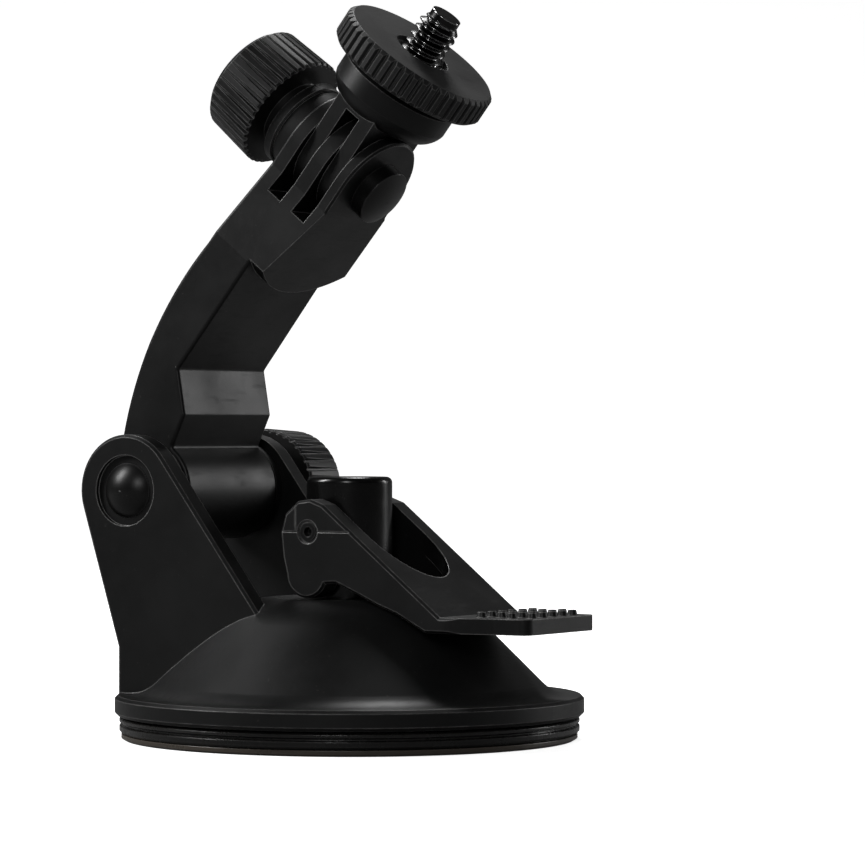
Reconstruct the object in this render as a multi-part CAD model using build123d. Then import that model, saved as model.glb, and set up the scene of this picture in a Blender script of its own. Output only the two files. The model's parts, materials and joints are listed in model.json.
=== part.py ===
from build123d import *
import os
from math import acos, atan2, cos, hypot, pi, radians, sin, sqrt

# A suction-cup mount for a dash camera, in millimetres, standing on its cup.
# The origin is the centre of the cup's underside. +Z is up, the lock lever points along +X,
# and the lower hinge lies along Y with its knob on the +Y side.

# Cup, gel and base shell
CUP_R = 34.3
CUP_TOP = 3.4
CUP_RISE = 1.4
GEL_T = 0.9
SEAT_R = 30.0
FLANGE_R = 35.0
FLANGE_TOP = 6.6
SHELL_WALL = 2.2
SHELL_TOP = 21.0
TOP_FLAT_R = 11.5
DOME_R = 11.35
DOME_TOE_R = 5.46
RING_R = 11.0
RING_T = 0.8

# Suction stem, its return spring, and the lever that lifts it
POST_R = 6.4
POST_TOP = 39.0
POST_GAP = 0.1
FOOT_R = 10.0
FOOT_GAP = 0.1
FOOT_T = 1.6
SPIGOT_R = 2.5
SPIGOT_TOP = 12.0
SPRING_R = 8.6
SPRING_WIRE_R = 0.5
SPRING_TURNS = 4
PIN_Z = 31.0
PIN_R = 1.4
LEVER_HALF = 11.4
PIN_SINK = 0.3
PIN_SINK_R = 1.75
LEVER_SLOT_HALF = 7.9
LEVER_SLOT_END = 16.0
TAB_END = 36.6
TAB_HALF = 9.9
TAB_TOP = 19.0
TAB_T = 2.3
PIP_R = 0.85
PIP_H = 0.8
PIP_START = 27.4
CAM_X = -0.25
CAM_Z = 24.75
CAM_R = 3.5

# Lower hinge
HINGE_X = -28.8
HINGE_Z = 36.9
EAR_IN = 14.2
EAR_OUT = 17.4
EAR_R = 8.4
BARREL_R = 7.8
BOSS_R = 7.0
WASHER_R = 7.2
ARM_HALF = 11.65
BOSS_END = 12.45
BOLT_R = 2.5
BOLT_HEAD_R = 4.1
BOLT_SINK = 0.7
HEAD_RECESS_R = 5.3
WASHER_GAP = 0.1

# Upper hinge, at right angles to the lower one
TILT = 51.0
UPPER_X = -0.26
UPPER_Z = 85.45
FORK_R = 8.3
FORK_FRONT = 5.9
FORK_BACK = 6.6
PRONG_HALF = 1.25
SLOT_OUT = 4.05
SLOT_DEPTH = 8.2
LUG_IN = 1.4
LUG_OUT = 3.9
LUG_R = 7.4
# Places down the arm from the upper hinge, its half-width at the waist, and its front pad
FORK_W = -5.0
WAIST_W = -17.9
WAIST_HALF = 11.2
WIDE_W = -38.0
BACK_BEND_W = -20.0
KNEE = (6.5, -42.6)
ARM_FRONT = 1.3
PAD_TIP = (3.5, -21.3)
PAD_BEND = (4.15, -17.0)
PAD_EASE = 0.35
TONGUE_R = 17.7
TONGUE_W = -3.6
BACK_BOSS_R = 6.8
BACK_BOSS_END = 9.4
UPPER_BOLT_R = 2.0
UPPER_BOLT_END = 18.3
UPPER_HEAD_R = 4.5
UPPER_WASHER = (7.2, 11.1)

# Clamp knobs, one at each hinge
KNOB_R = 9.3
KNOB_END_R = 8.9
KNOB_RIBS = 40
RIB_DEPTH = 0.55
COLLAR_R = 5.5
NUT_FLATS = 7.0
NUT_T = 3.6

# Head: neck, thumb wheel and quarter-inch camera screw
NECK_R = 9.4
NECK_BOTTOM = 11.2
NECK_FLARE = 2.0
NECK_TOP = 16.2
WHEEL_R = 12.5
WHEEL_BOTTOM = 16.3
WHEEL_TOP = 20.8
WHEEL_RIBS = 50
SCREW_R = 3.175
SCREW_RELIEF_R = 2.8
SCREW_THREAD_START = 20.95
SCREW_THREAD_END = 26.7
SCREW_END = 27.6
SCREW_DOG_R = 2.55
SCREW_HEAD_LOW = 11.6
SCREW_HEAD_TOP = 14.2
SCREW_HEAD_FLATS = 9.0
INSERT_FLATS = 7.2

# Rounding of the arm's moulded edges
EASE = 0.5

# Small gaps shared by the parts
PRESS_GAP = 0.02
RUN_GAP = 0.06

HINGE = Location((HINGE_X, 0, HINGE_Z))
ALONG_W = (cos(radians(TILT)), 0, sin(radians(TILT)))
ALONG_P = (sin(radians(TILT)), 0, -cos(radians(TILT)))
# Head frame: local X runs along the upper bolt towards its head, local Z up the camera screw.
HEAD = Plane(origin=(UPPER_X, 0, UPPER_Z), x_dir=ALONG_P, z_dir=ALONG_W)
# Bolt frames: local Z runs from the bolt's head towards its knob.
LOWER_BOLT_LINE = Plane(origin=(HINGE_X, 0, HINGE_Z), x_dir=(1, 0, 0), z_dir=(0, 1, 0))
UPPER_BOLT_LINE = Plane(origin=(UPPER_X, 0, UPPER_Z), x_dir=(0, 1, 0),
                        z_dir=(-ALONG_P[0], 0, -ALONG_P[2]))
# Where each knob's collar starts and how long the collar is, along its bolt
LOWER_COLLAR = (18.3, 1.1)
UPPER_COLLAR = (11.2, 1.8)
SKIRT_LENGTH = 9.4


def rod(radius, low, high):
    """A cylinder on the local Z axis from low to high."""
    return Pos(0, 0, (low + high) / 2) * Cylinder(radius, high - low)


def rod_y(radius, low, high):
    """A cylinder along Y from low to high."""
    return Pos(0, (low + high) / 2, 0) * Rot(90, 0, 0) * Cylinder(radius, high - low)


def rod_x(radius, low, high):
    """A cylinder along X from low to high."""
    return Pos((low + high) / 2, 0, 0) * Rot(0, 90, 0) * Cylinder(radius, high - low)


def block(x, y, z):
    """A box between three pairs of limits."""
    size = (x[1] - x[0], y[1] - y[0], z[1] - z[0])
    return Pos((x[0] + x[1]) / 2, (y[0] + y[1]) / 2, (z[0] + z[1]) / 2) * Box(*size)


def hexagon(flats, low, high):
    """A hexagonal prism on the local Z axis, measured across its flats."""
    shape = RegularPolygon(flats / 2, 6, major_radius=False)
    return Pos(0, 0, low) * extrude(shape, high - low)


def turned(*points):
    """A solid of revolution about Z from (radius, height) corner points."""
    with BuildSketch(Plane.XZ) as section:
        with BuildLine():
            Polyline(*points, close=True)
        make_face()
    return revolve(section.sketch, Axis.Z)


def side_plate(points, half_width):
    """A plate with a side outline in (x, z), centred on Y."""
    with BuildSketch(Plane.XZ) as section:
        with BuildLine():
            Polyline(*points, close=True)
        make_face()
    return extrude(section.sketch, half_width, both=True)


def on_circle(centre, radius, angle):
    """The point of a circle at an angle in radians."""
    return (centre[0] + radius * cos(angle), centre[1] + radius * sin(angle))


def tangent_point(point, centre, radius, side):
    """Where the line from a point touches a circle, on its +1 or -1 side."""
    dx, dy = point[0] - centre[0], point[1] - centre[1]
    return on_circle(centre, radius, atan2(dy, dx) + side * acos(radius / hypot(dx, dy)))


def ribbed_outline(radius, ribs):
    """A circle cut into straight-sided grip ribs, as a face in XY."""
    pitch = 2 * pi / ribs
    points = []
    for i in range(ribs):
        for share, r in ((0.0, radius - RIB_DEPTH), (0.18, radius), (0.62, radius),
                         (0.80, radius - RIB_DEPTH)):
            angle = (i + share) * pitch
            points.append((r * cos(angle), r * sin(angle)))
    with BuildSketch() as section:
        with BuildLine():
            Polyline(*points, close=True)
        make_face()
    return section.sketch


# Base

def suction_cup():
    """Flexible cup: a thick lip, and a web drawn up in the middle by the locked stem."""
    lip = 0.5
    return turned((0, CUP_RISE + GEL_T), (SEAT_R, GEL_T), (CUP_R - lip, GEL_T), (CUP_R, GEL_T + lip),
                  (CUP_R, CUP_TOP - 1.3), (CUP_R - lip, CUP_TOP - 1.1), (CUP_R - lip, CUP_TOP - 0.9),
                  (CUP_R, CUP_TOP - 0.7), (CUP_R, CUP_TOP - 0.3), (CUP_R - 0.4, CUP_TOP), (0, CUP_TOP))


def gel_pad():
    """Sticky gel layer bonded to the cup's underside."""
    return turned((0, CUP_RISE), (SEAT_R, 0), (CUP_R - 0.8, 0), (CUP_R - 0.3, 0.3),
                  (CUP_R - 0.3, GEL_T), (SEAT_R, GEL_T), (0, CUP_RISE + GEL_T))


def dome_outline():
    """Half section of the shell: (radius, height) of its outside and its hollow."""
    half = sqrt(0.5)
    shoulder = (TOP_FLAT_R + DOME_R * half, SHELL_TOP - DOME_R * (1 - half))
    toe_x = shoulder[0] + shoulder[1] - FLANGE_TOP - DOME_TOE_R * (1 - half) + DOME_TOE_R * half
    toe = (toe_x - DOME_TOE_R * half, FLANGE_TOP + DOME_TOE_R * (1 - half))
    inner_r = DOME_R - SHELL_WALL
    inner = (TOP_FLAT_R + inner_r * half, SHELL_TOP - DOME_R + inner_r * half)
    skirt_r = FLANGE_R - 3.5
    skirt_z = CUP_TOP + 1.2
    slope_end = (inner[0] + inner[1] - skirt_z - 1.0, skirt_z + 1.0)
    with BuildSketch(Plane.XZ) as section:
        with BuildLine():
            Line((POST_R + POST_GAP, SHELL_TOP), (TOP_FLAT_R, SHELL_TOP))
            RadiusArc((TOP_FLAT_R, SHELL_TOP), shoulder, DOME_R)
            Line(shoulder, toe)
            RadiusArc(toe, (toe_x, FLANGE_TOP), -DOME_TOE_R)
            Polyline((toe_x, FLANGE_TOP), (FLANGE_R - 0.5, FLANGE_TOP), (FLANGE_R, FLANGE_TOP - 0.5),
                     (FLANGE_R, CUP_TOP + 0.7), (FLANGE_R - 0.5, CUP_TOP + 0.2),
                     (CUP_R - 0.8, CUP_TOP), (skirt_r, CUP_TOP), (skirt_r, skirt_z),
                     slope_end, inner)
            RadiusArc(inner, (TOP_FLAT_R, SHELL_TOP - SHELL_WALL), -inner_r)
            Polyline((TOP_FLAT_R, SHELL_TOP - SHELL_WALL), (POST_R + POST_GAP, SHELL_TOP - SHELL_WALL),
                     (POST_R + POST_GAP, SHELL_TOP))
        make_face()
    return section.sketch


def ear(side):
    """Upright ear that leans back from the dome and carries one end of the lower bolt."""
    heel, back, front, shoulder = (-30.2, 13.5), (-30.2, 6.2), (-1.2, 6.2), (-4.1, 18.3)
    centre = (HINGE_X, HINGE_Z)
    front_top = tangent_point(shoulder, centre, EAR_R, 1)
    back_top = tangent_point(heel, centre, EAR_R, -1)
    with BuildSketch(Plane.XZ) as section:
        with BuildLine():
            Polyline(back_top, heel, back, front, (front[0], 16.0), shoulder, front_top)
            ThreePointArc(front_top, (HINGE_X, HINGE_Z + EAR_R), back_top)
        make_face()
    middle = side * (EAR_IN + EAR_OUT) / 2
    plate = Pos(0, middle, 0) * extrude(section.sketch, (EAR_OUT - EAR_IN) / 2, both=True)
    outer = plate.faces().sort_by(Axis.Y)[-1 if side > 0 else 0]
    return chamfer(outer.edges(), 0.45)


def base_shell():
    """Domed shell with a flat flange, a sleeve for the stem and the two hinge ears."""
    dome = revolve(dome_outline(), Axis.Z)
    hollow_top = SHELL_TOP - SHELL_WALL
    ears = ear(-1) + ear(1)
    inside = turned((0, 0), (FLANGE_R - 3.5, 0), (FLANGE_R - 3.5, CUP_TOP + 1.2), (11.0, hollow_top - 1.0),
                    (0, hollow_top - 1.0))
    shell = dome + (ears - inside)
    ring_seat = rod(RING_R + RUN_GAP, SHELL_TOP - RING_T, SHELL_TOP + 1)
    bolt_hole = HINGE * rod_y(BOLT_R + PRESS_GAP, -EAR_OUT - 1, EAR_OUT + 1)
    head_recess = HINGE * rod_y(HEAD_RECESS_R, -EAR_OUT - 1, -EAR_OUT + BOLT_SINK)
    return shell - ring_seat - bolt_hole - head_recess


def cam_ring():
    """Hard wear ring let into the top of the shell, under the lever's cams."""
    ring = rod(RING_R, SHELL_TOP - RING_T, SHELL_TOP) - rod(POST_R + POST_GAP, 0, SHELL_TOP + 1)
    return chamfer(ring.faces().sort_by(Axis.Z)[-1].edges().sort_by(SortBy.LENGTH)[-1], 0.15)


def friction_washer(side):
    """Washer keyed to an ear, rubbing on the arm's barrel."""
    low, high = sorted((side * (BOSS_END + WASHER_GAP), side * EAR_IN))
    disc = rod_y(WASHER_R, low, high)
    return HINGE * (disc - rod_y(BOLT_R + RUN_GAP, low - 1, high + 1))


def domed_bolt(head_r, head_h, dome_h, shaft_r, seat, end):
    """Round-head bolt on local Z; its smooth domed head stands below seat."""
    dome_r = (head_r ** 2 + dome_h ** 2) / (2 * dome_h)
    cap = Pos(0, 0, seat - head_h + dome_r) * Sphere(dome_r) & rod(head_r, seat - head_h, seat)
    return cap + rod(shaft_r, seat, end)


def plain_washer(outer_r, inner_r, low, high):
    """Flat washer on local Z with an eased rim."""
    disc = rod(outer_r, low, high)
    disc = chamfer(disc.edges().filter_by(GeomType.CIRCLE), 0.2)
    return disc - rod(inner_r, low - 1, high + 1)


def knob(collar):
    """Clamp knob on local Z: collar, ribbed skirt, rounded shoulders and a dished end."""
    start, collar_length = collar
    inner = start + collar_length
    end = inner + SKIRT_LENGTH
    ease, rim = 0.8, 0.3
    envelope = turned((0, inner), (KNOB_R - rim, inner), (KNOB_R, inner + rim),
                      (KNOB_END_R, end - ease), (KNOB_END_R - ease, end), (5.6, end), (5.0, end - 0.8),
                      (0, end - 0.8))
    skirt = Pos(0, 0, inner) * extrude(ribbed_outline(KNOB_R, KNOB_RIBS), SKIRT_LENGTH)
    body = (skirt & envelope) + rod(COLLAR_R, start, inner)
    nut_pocket = hexagon(NUT_FLATS + RUN_GAP, start - 1, start + 0.4 + NUT_T)
    shaft_room = rod(BOLT_R + 0.3, start, inner + 7.0)
    return body - nut_pocket - shaft_room


def knob_nut(collar, shaft_r):
    """Hexagon nut held in a knob, running on the bolt."""
    start = collar[0] + 0.4
    return hexagon(NUT_FLATS, start, start + NUT_T) - rod(shaft_r + RUN_GAP, start - 1, start + NUT_T + 1)


# Stem and lever

def return_spring():
    """Compression spring between the stem's foot and the shell's roof."""
    low = CUP_TOP + FOOT_GAP + FOOT_T + SPRING_WIRE_R + 0.1
    high = SHELL_TOP - SHELL_WALL - SPRING_WIRE_R - 0.1
    path = Pos(0, 0, low) * Helix((high - low) / SPRING_TURNS, high - low, SPRING_R)
    section = Plane(origin=path @ 0, z_dir=path % 0) * Circle(SPRING_WIRE_R)
    return sweep(section, path=path, is_frenet=True)


def stem_foot():
    """Disc moulded to the cup's middle, with the spigot that screws into the post."""
    low = CUP_TOP + FOOT_GAP
    return rod(FOOT_R, low, low + FOOT_T) + rod(SPIGOT_R, low, SPIGOT_TOP)


def stem_post():
    """Polished post that slides in the shell and hangs from the lever's pin."""
    low = CUP_TOP + FOOT_GAP + FOOT_T
    post = rod(POST_R, low, POST_TOP)
    post = fillet(post.faces().sort_by(Axis.Z)[-1].edges(), 0.9)
    pin_hole = Pos(0, 0, PIN_Z) * rod_y(PIN_R + PRESS_GAP, -POST_R - 1, POST_R + 1)
    return post - rod(SPIGOT_R + PRESS_GAP, low - 1, SPIGOT_TOP + 0.2) - pin_hole


def lever_pin():
    """Hollow-ended steel pin through the lever and the post."""
    end = LEVER_HALF - 0.15
    pin = rod_y(PIN_R, -end, end) - rod_y(0.7, -end - 1, -end + 1.2) - rod_y(0.7, end - 1.2, end + 1)
    return Pos(0, 0, PIN_Z) * pin


def dome_clearance(gap):
    """The room that the lever leaves over the shoulder of the dome."""
    reach = 30.0
    r = DOME_R + gap
    half = sqrt(0.5)
    start = (TOP_FLAT_R, SHELL_TOP + gap)
    shoulder = (TOP_FLAT_R + r * half, SHELL_TOP - DOME_R + r * half)
    with BuildSketch(Plane.XZ) as section:
        with BuildLine():
            RadiusArc(start, shoulder, r)
            Polyline(shoulder, (reach, shoulder[1] + shoulder[0] - reach), (reach, 0),
                     (TOP_FLAT_R, 0), start)
        make_face()
    return revolve(section.sketch, Axis.Z)


def moulding_lines():
    """Faint cross of moulding lines round the pin on each cheek."""
    depth, width = 0.12, 0.16
    lines = block((-5, 8), (-LEVER_HALF - 1, -LEVER_HALF + depth), (PIN_Z - width / 2, PIN_Z + width / 2))
    lines += block((-2.2, -2.2 + width), (-LEVER_HALF - 1, -LEVER_HALF + depth), (PIN_Z, PIN_Z + 6))
    return lines + mirror(lines, about=Plane.XZ)


def tab_pips():
    """Rows of raised grip pips on the lever's tab."""
    pips = []
    for row in range(4):
        count = 6 - row % 2
        for i in range(count):
            place = Pos(PIP_START + 2.5 * row, (i - (count - 1) / 2) * 2.9, TAB_TOP + PIP_H / 2 - 0.1)
            pips.append(place * Cone(PIP_R, PIP_R * 0.7, PIP_H + 0.2))
    return pips


def lock_lever():
    """Cam lever: two cheeks round the post, round cam feet, a sloping plate and a finger tab."""
    outline = [(-4.4, 27.2), (-3.75, CAM_Z), (2.95, 23.4), (4.9, 23.5), (8.5, 22.0), (11.9, 20.5),
               (15.4, 19.2), (20.2, TAB_TOP - TAB_T), (TAB_END, TAB_TOP - TAB_T), (TAB_END, TAB_TOP),
               (22.7, TAB_TOP), (2.65, 35.0), (0.4, 35.8), (-1.8, 35.5), (-4.0, 33.6), (-4.8, 30.9)]
    body = side_plate(outline, LEVER_HALF) + Pos(CAM_X, 0, CAM_Z) * rod_y(CAM_R, -LEVER_HALF, LEVER_HALF)
    waist = 24.0
    with BuildSketch() as plan:
        with BuildLine():
            Polyline((-8, LEVER_HALF), (waist, LEVER_HALF), (waist + 7, TAB_HALF + 0.3), (TAB_END, TAB_HALF),
                     (TAB_END, -TAB_HALF), (waist + 7, -TAB_HALF - 0.3), (waist, -LEVER_HALF),
                     (-8, -LEVER_HALF), close=True)
        make_face()
        fillet(plan.vertices().group_by(Axis.X)[-1], 1.6)
    body = body & extrude(plan.sketch, 60)
    body = chamfer(body.faces().sort_by(Axis.Y)[0].edges() + body.faces().sort_by(Axis.Y)[-1].edges(), 0.4)
    slot_centre = LEVER_SLOT_END - LEVER_SLOT_HALF
    slot = block((-20, slot_centre), (-LEVER_SLOT_HALF, LEVER_SLOT_HALF), (0, 60))
    slot += Pos(slot_centre, 0, 0) * rod(LEVER_SLOT_HALF, 0, 60)
    pin_hole = Pos(0, 0, PIN_Z) * rod_y(PIN_R + RUN_GAP, -LEVER_HALF - 1, LEVER_HALF + 1)
    for side in (-1, 1):
        low, high = sorted((side * (LEVER_HALF - PIN_SINK), side * (LEVER_HALF + 1)))
        pin_hole += Pos(0, 0, PIN_Z) * rod_y(PIN_SINK_R, low, high)
    under_plate = side_plate([(5.0, 0), (5.0, 29.8), (21.8, TAB_TOP - TAB_T), (21.8, 0)], LEVER_SLOT_HALF)
    body = body - slot - pin_hole - under_plate - dome_clearance(0.4) - moulding_lines()
    for pip in tab_pips():
        body += pip
    return body


# Arm

def arm_side():
    """Side outline of the arm in the head frame, from the fork down to the barrel."""
    hinge = HEAD.to_local_coords(Vector(HINGE_X, 0, HINGE_Z))
    barrel = (hinge.X, hinge.Z)
    throat = on_circle(barrel, BARREL_R, radians(94))
    nape = on_circle(barrel, BARREL_R, radians(170))
    with BuildSketch(Plane.XZ) as section:
        with BuildLine():
            Polyline(throat, KNEE, (ARM_FRONT, WIDE_W), (ARM_FRONT, FORK_R), (-FORK_BACK, FORK_R),
                     (-FORK_BACK, BACK_BEND_W))
            ThreePointArc((-FORK_BACK, BACK_BEND_W), (-5.4, -38.5), nape)
            ThreePointArc(nape, on_circle(barrel, BARREL_R, radians(-48)), throat)
        make_face()
    return section.sketch


def arm_front():
    """Front outline of the arm in the head frame: round fork, widening to the barrel."""
    with BuildSketch(Plane.YZ) as section:
        with BuildLine():
            Polyline((-FORK_R, 0), (-FORK_R, FORK_W), (-WAIST_HALF, WAIST_W), (-ARM_HALF, WIDE_W),
                     (-ARM_HALF, -70.0), (ARM_HALF, -70.0), (ARM_HALF, WIDE_W), (WAIST_HALF, WAIST_W),
                     (FORK_R, FORK_W), (FORK_R, 0))
            ThreePointArc((FORK_R, 0), (0, FORK_R), (-FORK_R, 0))
        make_face()
    return section.sketch


def fork_pad():
    """Front pad of the fork: thickens towards the hinge and ends in a round tongue."""
    side = side_plate([(0, PAD_TIP[1]), PAD_TIP, PAD_BEND, (FORK_FRONT, FORK_W), (FORK_FRONT, FORK_R),
                       (0, FORK_R)], FORK_R + 4)
    tongue = Pos(0, 0, TONGUE_W) * rod_x(TONGUE_R, 0, 20) + block((0, 20), (-20, 20), (TONGUE_W, 20))
    pad = side & tongue & extrude(arm_front(), 40, both=True)
    outer = pad.faces().filter_by(GeomType.PLANE).sort_by(Axis.X)[-1]
    return chamfer(outer.edges(), PAD_EASE)


def arm():
    """Cranked arm: three-pronged fork on top, barrel with two bosses below."""
    side = extrude(arm_side(), ARM_HALF + 1, both=True)
    front = extrude(arm_front(), 40, both=True)
    body = fillet((side & front).edges(), EASE)
    body += fork_pad()
    body += rod_x(BACK_BOSS_R, -BACK_BOSS_END, -FORK_BACK + 1)
    for p_in, p_out in ((PRONG_HALF, SLOT_OUT), (-SLOT_OUT, -PRONG_HALF)):
        body -= block((p_in, p_out), (-20, 20), (-SLOT_DEPTH, 20))
    body -= rod_x(UPPER_BOLT_R + PRESS_GAP, -20, 20)
    body = HEAD * body
    body += HINGE * rod_y(BOSS_R, -BOSS_END, BOSS_END)
    return body - HINGE * rod_y(BOLT_R + RUN_GAP, -20, 20)


# Head

def head_block():
    """Two hinge lugs under a round neck that holds the camera screw's head."""
    body = block((-LUG_OUT, LUG_OUT), (-LUG_R, LUG_R), (0, NECK_BOTTOM)) + rod_x(LUG_R, -LUG_OUT, LUG_OUT)
    body -= block((-LUG_IN, LUG_IN), (-20, 20), (-20, FORK_R + 0.6))
    with BuildSketch(Plane.XZ) as section:
        with BuildLine():
            RadiusArc((LUG_R - 0.6, NECK_BOTTOM - NECK_FLARE), (NECK_R, NECK_BOTTOM + 0.8), -2 * NECK_FLARE)
            Polyline((NECK_R, NECK_BOTTOM + 0.8), (NECK_R, NECK_TOP - 1.2), (NECK_R - 0.5, NECK_TOP - 0.7),
                     (NECK_R - 0.9, NECK_TOP), (0, NECK_TOP), (0, NECK_BOTTOM - NECK_FLARE),
                     (LUG_R - 0.6, NECK_BOTTOM - NECK_FLARE))
        make_face()
    body += revolve(section.sketch, Axis.Z)
    body -= rod_x(UPPER_BOLT_R + RUN_GAP, -20, 20)
    body -= hexagon(SCREW_HEAD_FLATS + RUN_GAP, SCREW_HEAD_LOW, SCREW_HEAD_TOP)
    body -= rod(SCREW_RELIEF_R + PRESS_GAP, SCREW_HEAD_LOW, NECK_TOP + 1)
    return HEAD * body


def tripod_screw():
    """Quarter-inch camera screw: hexagon head in the neck, thinner shank, thread and dog point."""
    shank = rod(SCREW_RELIEF_R, SCREW_HEAD_TOP, SCREW_THREAD_START)
    shank += rod(SCREW_R, SCREW_THREAD_START, SCREW_THREAD_END)
    shank += rod(SCREW_DOG_R, SCREW_THREAD_END, SCREW_END)
    return HEAD * (hexagon(SCREW_HEAD_FLATS, SCREW_HEAD_LOW, SCREW_HEAD_TOP) + shank)


def thumb_wheel():
    """Ribbed lock wheel with a counterbored face, running on the camera screw."""
    ease = 0.6
    envelope = turned((0, WHEEL_BOTTOM), (WHEEL_R - ease, WHEEL_BOTTOM), (WHEEL_R, WHEEL_BOTTOM + ease),
                      (WHEEL_R, WHEEL_TOP - ease), (WHEEL_R - ease, WHEEL_TOP), (0, WHEEL_TOP))
    wheel = Pos(0, 0, WHEEL_BOTTOM) * extrude(ribbed_outline(WHEEL_R, WHEEL_RIBS), WHEEL_TOP - WHEEL_BOTTOM)
    wheel = wheel & envelope
    wheel -= rod(4.4, WHEEL_TOP - 0.9, WHEEL_TOP + 1)
    wheel -= hexagon(INSERT_FLATS + RUN_GAP, WHEEL_BOTTOM + 0.4, WHEEL_TOP)
    wheel -= rod(SCREW_R + RUN_GAP, WHEEL_BOTTOM - 1, WHEEL_TOP)
    return HEAD * wheel


def wheel_nut():
    """Hexagon insert that holds the thumb wheel on the screw's thinner shank."""
    body = hexagon(INSERT_FLATS, WHEEL_BOTTOM + 0.4, WHEEL_TOP - 0.95)
    return HEAD * (body - rod(SCREW_RELIEF_R + RUN_GAP, WHEEL_BOTTOM, WHEEL_TOP))


NODES = {
    "gel_pad": gel_pad(),
    "suction_cup": suction_cup(),
    "base_shell": base_shell(),
    "cam_ring": cam_ring(),
    "return_spring": return_spring(),
    "stem_foot": stem_foot(),
    "stem_post": stem_post(),
    "lever_pin": lever_pin(),
    "lock_lever": lock_lever(),
    "arm": arm(),
    "friction_washer_near": friction_washer(-1),
    "friction_washer_far": friction_washer(1),
    "lower_bolt": LOWER_BOLT_LINE * domed_bolt(BOLT_HEAD_R, 1.9, 1.9, BOLT_R, -EAR_OUT + BOLT_SINK, 25.0),
    "lower_knob_washer": LOWER_BOLT_LINE * plain_washer(6.9, BOLT_R + RUN_GAP, EAR_OUT, 18.2),
    "lower_knob": LOWER_BOLT_LINE * knob(LOWER_COLLAR),
    "lower_knob_nut": LOWER_BOLT_LINE * knob_nut(LOWER_COLLAR, BOLT_R),
    "upper_bolt": UPPER_BOLT_LINE * domed_bolt(UPPER_HEAD_R, 3.1, 0.8, UPPER_BOLT_R, -FORK_FRONT,
                                                UPPER_BOLT_END),
    "upper_knob_washer": UPPER_BOLT_LINE * plain_washer(UPPER_WASHER[0], UPPER_BOLT_R + RUN_GAP,
                                                        BACK_BOSS_END, UPPER_WASHER[1]),
    "upper_knob": UPPER_BOLT_LINE * knob(UPPER_COLLAR),
    "upper_knob_nut": UPPER_BOLT_LINE * knob_nut(UPPER_COLLAR, UPPER_BOLT_R),
    "head_block": head_block(),
    "tripod_screw": tripod_screw(),
    "thumb_wheel": thumb_wheel(),
    "wheel_nut": wheel_nut(),
}

os.makedirs("parts", exist_ok=True)
for name, shape in NODES.items():
    export_step(shape, f"parts/{name}.step")
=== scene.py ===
import json
from math import cos, pi, radians, sin

import bmesh
import bpy
from mathutils import Matrix, Vector


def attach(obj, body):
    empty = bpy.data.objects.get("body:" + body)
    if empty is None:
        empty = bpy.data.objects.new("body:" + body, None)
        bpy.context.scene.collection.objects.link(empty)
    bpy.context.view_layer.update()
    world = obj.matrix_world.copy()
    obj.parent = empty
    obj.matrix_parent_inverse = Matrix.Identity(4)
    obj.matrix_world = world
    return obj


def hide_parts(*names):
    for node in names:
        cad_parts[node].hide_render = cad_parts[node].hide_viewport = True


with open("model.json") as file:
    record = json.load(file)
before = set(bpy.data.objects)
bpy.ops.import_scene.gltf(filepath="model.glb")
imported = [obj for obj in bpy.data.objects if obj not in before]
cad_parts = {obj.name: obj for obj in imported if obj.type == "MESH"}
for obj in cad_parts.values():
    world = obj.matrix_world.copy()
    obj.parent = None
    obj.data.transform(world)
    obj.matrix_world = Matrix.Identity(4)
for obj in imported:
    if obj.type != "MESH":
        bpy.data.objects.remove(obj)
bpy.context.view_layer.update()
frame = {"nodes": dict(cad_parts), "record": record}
MM = 0.001

MOUNTS = {mount["name"]: mount for mount in frame["record"]["mounts"]}
SLOTS = {part["node"]: part["material_slot"] for part in frame["record"]["subparts"]}


# Materials -----------------------------------------------------------------------------------

class Nodes:
    """Adds shader nodes to one material and links them."""

    def __init__(self, name):
        self.material = bpy.data.materials.new(name)
        self.material.use_nodes = True
        self.tree = self.material.node_tree
        self.shader = self.tree.nodes["Principled BSDF"]

    def add(self, kind, inputs=None, **settings):
        node = self.tree.nodes.new(kind)
        for key, value in settings.items():
            setattr(node, key, value)
        for key, value in (inputs or {}).items():
            self.put(node.inputs[key], value)
        return node

    def put(self, socket, value):
        if isinstance(value, bpy.types.NodeSocket):
            self.tree.links.new(value, socket)
        else:
            socket.default_value = value

    def noise(self, coords, scale, detail=3.0, roughness=0.55):
        node = self.add("ShaderNodeTexNoise", {"Vector": coords, "Scale": scale, "Detail": detail,
                                               "Roughness": roughness})
        return node.outputs["Fac"]

    def ramp(self, value, low, high, to_low=0.0, to_high=1.0):
        node = self.add("ShaderNodeMapRange", {"Value": value, "From Min": low, "From Max": high,
                                               "To Min": to_low, "To Max": to_high})
        return node.outputs["Result"]

    def maths(self, operation, a, b):
        return self.add("ShaderNodeMath", {0: a, 1: b}, operation=operation).outputs[0]

    def mix(self, share, a, b):
        node = self.add("ShaderNodeMix", data_type="RGBA")
        self.put(node.inputs["Factor"], share)
        self.put(node.inputs["A"], a)
        self.put(node.inputs["B"], b)
        return node.outputs["Result"]

    def stretched(self, coords, x, y, z):
        return self.add("ShaderNodeMapping", {"Vector": coords, "Scale": (x, y, z)}).outputs["Vector"]


def grey(level, warmth=0.0):
    """A near-neutral colour, a little warm or cool."""
    return (level * (1 + warmth), level, level * (1 - warmth), 1)


def edge_share(nodes, radius, low, high):
    """How far a point is rounded off at an edge, 0 on a flat and 1 on a sharp outer edge."""
    bevel = nodes.add("ShaderNodeBevel", {"Radius": radius}, samples=6)
    geometry = nodes.add("ShaderNodeNewGeometry")
    turn = nodes.add("ShaderNodeVectorMath", {0: bevel.outputs["Normal"], 1: geometry.outputs["Normal"]},
                     operation="DOT_PRODUCT").outputs["Value"]
    return nodes.ramp(turn, 1 - low, 1 - high)


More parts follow.
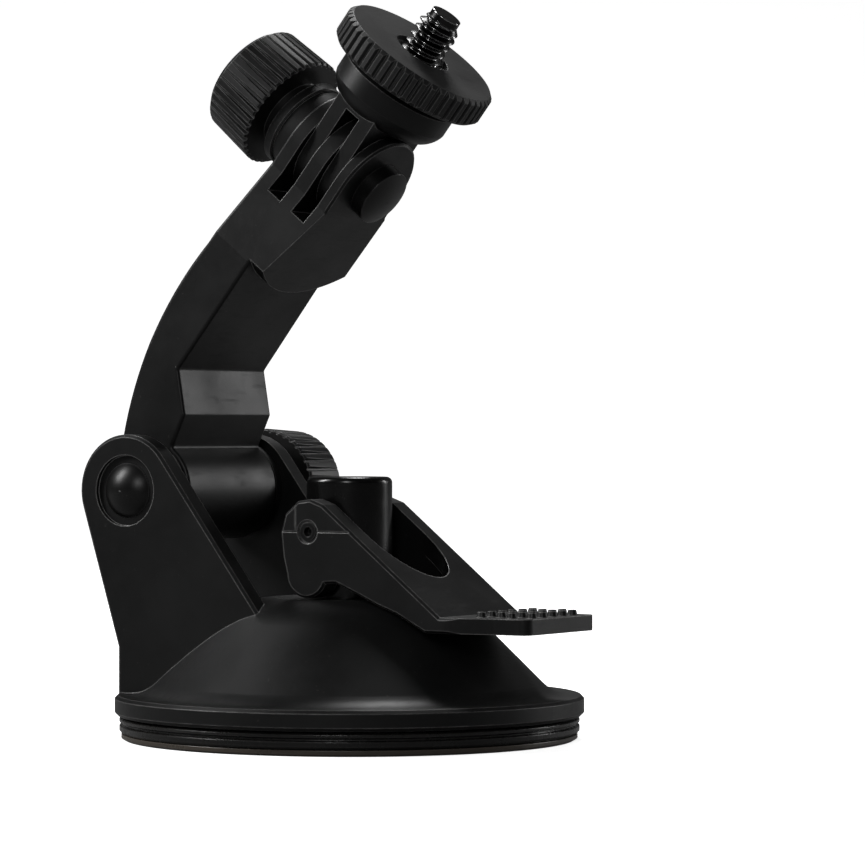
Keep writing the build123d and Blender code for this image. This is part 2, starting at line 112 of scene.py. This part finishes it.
def surface(name, colour, rough, grain=3200.0, grain_depth=0.012, mottle=0.12, edge_highlight_strength=0.35, edge_highlight_colour=None,
            edge=0.35, metal=0.0, coat=0.0, specular=0.5, smudge_scale=90.0):
    """A moulded surface: fine grain, uneven gloss, faint scuffs and edges painted bright as a highlight.
    """
    nodes = Nodes(name)
    coords = nodes.add("ShaderNodeTexCoord").outputs["Object"]
    fine = nodes.noise(coords, grain, 4.0, 0.6)
    broad = nodes.noise(coords, smudge_scale, 5.0, 0.6)
    scuffs = nodes.noise(nodes.stretched(coords, 2600, 240, 900), 1.0, 2.0, 0.5)
    specks = nodes.noise(coords, 1500.0, 2.0, 0.5)

    # Painted highlight: a lighter band along outer edges, broken up in patches, stands in for light caught
    # by the edges.
    painted_edge_highlight = edge_share(nodes, edge * MM, 0.012, 0.11)
    patchy = nodes.ramp(nodes.noise(coords, 420.0, 4.0, 0.6), 0.30, 0.62, 0.35, 1.0)
    painted_edge_highlight = nodes.maths("MULTIPLY", painted_edge_highlight, patchy)
    painted_edge_highlight = nodes.maths("MULTIPLY", painted_edge_highlight, edge_highlight_strength)

    tint = nodes.mix(nodes.ramp(broad, 0.35, 0.68), tuple(c * 0.86 for c in colour[:3]) + (1,), colour)
    dust = nodes.ramp(specks, 0.70, 0.78, 0.0, 0.10)
    tint = nodes.mix(dust, tint, grey(0.16, 0.04))
    # The painted edge highlight is mixed into the base colour here, and it also lowers the roughness
    # below.
    tint = nodes.mix(painted_edge_highlight, tint, edge_highlight_colour or grey(0.30, 0.02))

    gloss = nodes.ramp(broad, 0.30, 0.72, rough - mottle, rough + mottle)
    gloss = nodes.maths("ADD", gloss, nodes.ramp(scuffs, 0.55, 0.80, 0.0, 0.07))
    gloss = nodes.maths("SUBTRACT", gloss, nodes.maths("MULTIPLY", painted_edge_highlight, 0.18))

    height = nodes.maths("ADD", nodes.maths("MULTIPLY", fine, 0.8), nodes.maths("MULTIPLY", scuffs, 0.2))
    soft_edge = nodes.add("ShaderNodeBevel", {"Radius": 0.18 * MM}, samples=6).outputs["Normal"]
    bump = nodes.add("ShaderNodeBump", {"Height": height, "Strength": 0.6, "Distance": grain_depth * MM,
                                        "Normal": soft_edge})

    nodes.put(nodes.shader.inputs["Base Color"], tint)
    nodes.put(nodes.shader.inputs["Roughness"], gloss)
    nodes.put(nodes.shader.inputs["Normal"], bump.outputs["Normal"])
    nodes.shader.inputs["Metallic"].default_value = metal
    nodes.shader.inputs["Specular IOR Level"].default_value = specular
    nodes.shader.inputs["Coat Weight"].default_value = coat
    nodes.shader.inputs["Coat Roughness"].default_value = 0.18
    return nodes.material


def make_materials():
    """One material for each slot of the record, and a few for single nodes."""
    # Each material below sets a painted edge highlight: how strong it is and how light its colour is.
    return {
        "satin_black": surface("satin_black", grey(0.0055, -0.02), 0.42, grain_depth=0.012, mottle=0.06,
                               edge_highlight_strength=0.90, edge_highlight_colour=grey(0.32, 0.01), edge=0.28, specular=0.32),
        "polished_black": surface("polished_black", grey(0.004), 0.22, grain=900, grain_depth=0.002,
                                  mottle=0.05, edge_highlight_strength=0.25, edge_highlight_colour=grey(0.10), coat=0.15, specular=0.4),
        "knob_black": surface("knob_black", grey(0.006), 0.38, grain_depth=0.010, mottle=0.06, edge_highlight_strength=0.80,
                              edge=0.20, edge_highlight_colour=grey(0.26), specular=0.35),
        "cup_rubber": surface("cup_rubber", grey(0.007, 0.04), 0.30, grain=1500, grain_depth=0.006,
                              edge_highlight_strength=0.30, edge_highlight_colour=grey(0.14, 0.03), smudge_scale=160, specular=0.4),
        "gel": surface("gel", grey(0.055, 0.20), 0.32, grain=700, grain_depth=0.02, mottle=0.10, edge_highlight_strength=0.3,
                       edge_highlight_colour=grey(0.20, 0.14)),
        "friction_rubber": surface("friction_rubber", grey(0.006), 0.55, edge_highlight_strength=0.1, specular=0.3),
        "black_steel": surface("black_steel", grey(0.030), 0.30, grain=2200, grain_depth=0.006, metal=1.0,
                               edge_highlight_strength=0.95, edge_highlight_colour=grey(0.75), mottle=0.08),
        "steel": surface("steel", grey(0.30), 0.38, grain=2400, grain_depth=0.008, metal=1.0, edge_highlight_strength=0.3,
                         edge_highlight_colour=grey(0.60)),
        "brass": surface("brass", (0.52, 0.36, 0.14, 1), 0.30, grain=2400, grain_depth=0.006, metal=1.0,
                         edge_highlight_strength=0.3, edge_highlight_colour=(0.75, 0.58, 0.30, 1)),
        "bolt_black": surface("bolt_black", grey(0.004), 0.34, grain=900, grain_depth=0.003, mottle=0.06,
                              edge_highlight_strength=0.4, edge_highlight_colour=grey(0.14), specular=0.35),
        "wheel_face": surface("wheel_face", grey(0.020), 0.55, grain_depth=0.016, edge_highlight_strength=0.50, edge=0.22,
                              edge_highlight_colour=grey(0.32), specular=0.35),
    }


def dress(piece, material):
    """Gives a piece one material."""
    piece.data.materials.clear()
    piece.data.materials.append(material)


# Camera screw --------------------------------------------------------------------------------

def new_piece(name, bm, smooth_angle=35.0):
    """A mesh object from bmesh data, shaded smooth up to an angle."""
    bmesh.ops.recalc_face_normals(bm, faces=bm.faces)
    mesh = bpy.data.meshes.new(name)
    bm.to_mesh(mesh)
    bm.free()
    mesh.shade_smooth()
    mesh.set_sharp_from_angle(angle=radians(smooth_angle))
    piece = bpy.data.objects.new(name, mesh)
    bpy.context.scene.collection.objects.link(piece)
    return piece


def threaded_rod(name, base, axis, end, major_r, pitch, starts_at, shank_r, shank_end, per_turn=64):
    """A rod with a plain shank and a helical vee thread that runs out under a chamfered dog point."""
    depth = 0.6134 * pitch
    tip_r = major_r - depth - 0.05 * MM
    rows_per_turn = 16
    step = pitch / rows_per_turn
    rows = int((end - starts_at) / step)
    bm = bmesh.new()
    rings = [[bm.verts.new((shank_r * cos(2 * pi * i / per_turn), shank_r * sin(2 * pi * i / per_turn), z))
              for i in range(per_turn)] for z in (shank_end, starts_at - 0.1 * MM)]
    for row in range(rows + 1):
        ring = []
        for i in range(per_turn):
            turn = i / per_turn
            z = starts_at + row * step
            phase = (z / pitch - turn) % 1.0
            crest = 1 - abs(2 * phase - 1)
            r = major_r - depth * min(1.0, max(0.0, 1.18 - 1.36 * crest))
            lead = (end - 1.1 * MM) - z
            if lead < 0.9 * MM:
                r = min(r, tip_r + max(0.0, lead / (0.9 * MM)) * depth)
            angle = 2 * pi * turn
            ring.append(bm.verts.new((r * cos(angle), r * sin(angle), z)))
        rings.append(ring)
    for low, high in zip(rings, rings[1:]):
        for i in range(per_turn):
            j = (i + 1) % per_turn
            bm.faces.new((low[i], low[j], high[j], high[i]))
    bm.faces.new(reversed(rings[0]))
    bm.faces.new(rings[-1])
    piece = new_piece(name, bm, 40.0)
    turn = Vector((0, 0, 1)).rotation_difference(Vector(axis).normalized()).to_matrix().to_4x4()
    piece.data.transform(Matrix.Translation(base) @ turn)
    return piece


def camera_screw(materials):
    """The quarter-inch, twenty threads per inch screw that stands for the plain CAD one."""
    mount = MOUNTS["camera_screw"]
    axis = Vector(mount["axis"])
    middle = Vector(mount["pos_m"])
    screw = threaded_rod("camera_screw", middle, axis, 3.775 * MM, mount["dims"]["r_mm"] * MM,
                         25.4 / 20 * MM, -3.9 * MM, 2.78 * MM, -9.5 * MM)
    dress(screw, materials["black_steel"])
    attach(screw, "head")
    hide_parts("tripod_screw")
    return screw


# Stage ---------------------------------------------------------------------------------------

def make_floor():
    """A pale floor that turns up into a backdrop."""
    half, bend_r, top, back = 3.0, 0.6, 2.5, 1.6
    view_dir = Vector((-cos(radians(57)), sin(radians(57)), 0))
    across = Vector((view_dir.y, -view_dir.x, 0))
    profile = [(-2.2, 0.0), (back - bend_r, 0.0)]
    profile += [(back - bend_r + bend_r * sin(a * pi / 24), bend_r * (1 - cos(a * pi / 24)))
                for a in range(1, 13)]
    profile.append((back, top))
    bm = bmesh.new()
    rows = []
    for reach, height in profile:
        centre = view_dir * reach + Vector((0, 0, height))
        rows.append([bm.verts.new(centre + across * side * half) for side in (-1, 1)])
    for low, high in zip(rows, rows[1:]):
        bm.faces.new((low[0], low[1], high[1], high[0]))
    floor = new_piece("pale_floor", bm, 80.0)
    nodes = Nodes("pale_floor")
    coords = nodes.add("ShaderNodeTexCoord").outputs["Object"]
    nodes.put(nodes.shader.inputs["Roughness"], nodes.ramp(nodes.noise(coords, 40.0), 0.3, 0.7, 0.75, 0.9))
    seen = nodes.add("ShaderNodeLightPath").outputs["Is Camera Ray"]
    pale = nodes.mix(nodes.noise(coords, 6.0), grey(0.90), grey(0.93))
    nodes.put(nodes.shader.inputs["Base Color"], nodes.mix(seen, grey(0.16), pale))
    nodes.shader.inputs["Emission Color"].default_value = (1, 1, 1, 1)
    nodes.put(nodes.shader.inputs["Emission Strength"], nodes.ramp(seen, 0.0, 1.0, 0.03, 0.85))
    dress(floor, nodes.material)


def area_light(name, place, target, size, power):
    """A soft rectangular light aimed at a point."""
    data = bpy.data.lights.new(name, "AREA")
    data.shape = "RECTANGLE"
    data.size, data.size_y = size
    data.energy = power
    light = bpy.data.objects.new(name, data)
    light.location = place
    light.rotation_mode = "QUATERNION"
    light.rotation_quaternion = (Vector(target) - Vector(place)).to_track_quat("-Z", "Y")
    bpy.context.scene.collection.objects.link(light)


def make_lights():
    """Small soft boxes at the upper left, behind right and above, with a faint fill in front."""
    target = (0, 0, 0.05)
    area_light("left_top_box", (-0.62, -0.45, 0.60), target, (0.20, 0.45), 6.0)
    area_light("right_back_box", (0.55, 0.85, 0.28), target, (0.20, 0.45), 1.9)
    area_light("top_band", (-0.27, 0.42, 0.90), target, (0.40, 0.22), 6.0)
    area_light("front_fill", (0.40, -0.90, 0.50), target, (0.25, 0.35), 2.0)
    world = bpy.data.worlds.new("studio")
    world.use_nodes = True
    world.node_tree.nodes["Background"].inputs["Color"].default_value = (1, 1, 1, 1)
    world.node_tree.nodes["Background"].inputs["Strength"].default_value = 0.02
    bpy.context.scene.world = world
    bpy.context.scene.view_settings.view_transform = "Standard"


def make_camera():
    """Level camera a little in front of the lever's side, as far off as the photograph's was."""
    bearing = radians(57)
    view_dir = Vector((-cos(bearing), sin(bearing), 0))
    distance, height = 0.570, 0.046
    data = bpy.data.cameras.new("camera")
    data.sensor_width = 36.0
    data.lens = 158.9
    data.shift_x = 0.0960
    data.shift_y = -0.0032
    data.clip_start, data.clip_end = 0.02, 20
    camera = bpy.data.objects.new("camera", data)
    camera.location = Vector((0, 0, height)) - view_dir * distance
    camera.rotation_mode = "QUATERNION"
    camera.rotation_quaternion = view_dir.to_track_quat("-Z", "Y")
    bpy.context.scene.collection.objects.link(camera)
    bpy.context.scene.camera = camera


materials = make_materials()
for node_name, node in frame["nodes"].items():
    dress(node, materials[SLOTS[node_name]])
dress(frame["nodes"]["lower_bolt"], materials["bolt_black"])
dress(frame["nodes"]["upper_bolt"], materials["bolt_black"])
dress(frame["nodes"]["lever_pin"], materials["bolt_black"])
dress(frame["nodes"]["wheel_nut"], materials["black_steel"])
dress(frame["nodes"]["thumb_wheel"], materials["wheel_face"])
camera_screw(materials)
make_floor()
make_lights()
make_camera()
